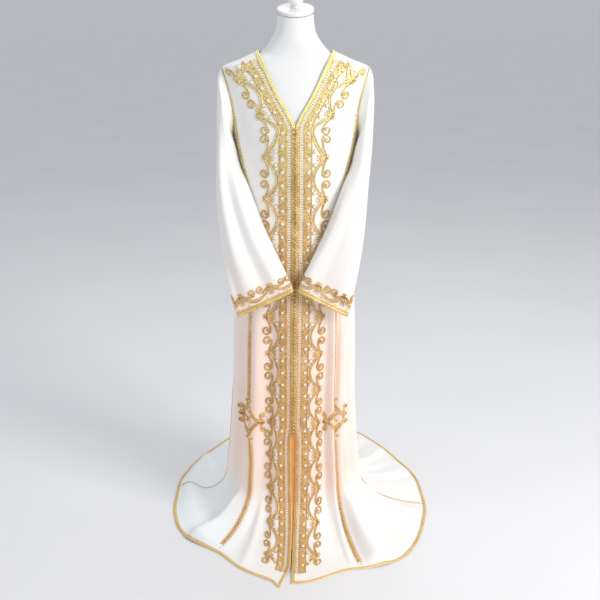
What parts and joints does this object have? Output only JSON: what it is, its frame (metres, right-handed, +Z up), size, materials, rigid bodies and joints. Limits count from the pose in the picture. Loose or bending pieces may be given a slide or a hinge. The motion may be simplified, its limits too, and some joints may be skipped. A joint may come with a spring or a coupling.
{
  "type": "moroccan kaftan on a dress form",
  "caption": "Floor-length front-opening kaftan with long flared sleeves, gold braid and a short train, standing on a limbless dress form.",
  "frame": {"origin": "centre of the underside of the stand's round base, on the floor", "axes": "+Z up, the kaftan's front opening faces -Y, the wearer's left is +X"},
  "size_m": [0.7971, 1.0477, 1.5371],
  "materials": {
    "white_satin": "white satin-backed crepe with a soft sheen",
    "gold_braid": "woven gold metal-thread braid and cord",
    "amber_satin": "amber satin ribbon",
    "form_cover": "smooth white moulded shell",
    "stand_steel": "brushed"
  },
  "bodies": {
    "root": {"front_left": "white_satin", "front_right": "white_satin", "side_front_left": "white_satin", "side_front_right": "white_satin", "back": "white_satin", "sleeve_left": "white_satin", "sleeve_right": "white_satin", "front_braid_left": "gold_braid", "front_braid_right": "gold_braid", "back_neck_braid": "gold_braid", "hem_braid_front_left": "gold_braid", "hem_braid_front_right": "gold_braid", "hem_braid_side_front_left": "gold_braid", "hem_braid_side_front_right": "gold_braid", "hem_braid_back": "gold_braid", "cuff_braid_left": "gold_braid", "cuff_braid_right": "gold_braid", "side_piping_left": "gold_braid", "side_piping_right": "gold_braid", "armhole_piping_left": "gold_braid", "armhole_piping_right": "gold_braid", "button_row": "gold_braid", "front_underlap": "amber_satin", "form_torso": "form_cover", "form_neck_cap": "form_cover", "form_knob": "form_cover", "stand_pole": "stand_steel", "stand_collar": "stand_steel", "stand_base": "stand_steel"}
  },
  "joints": []
}
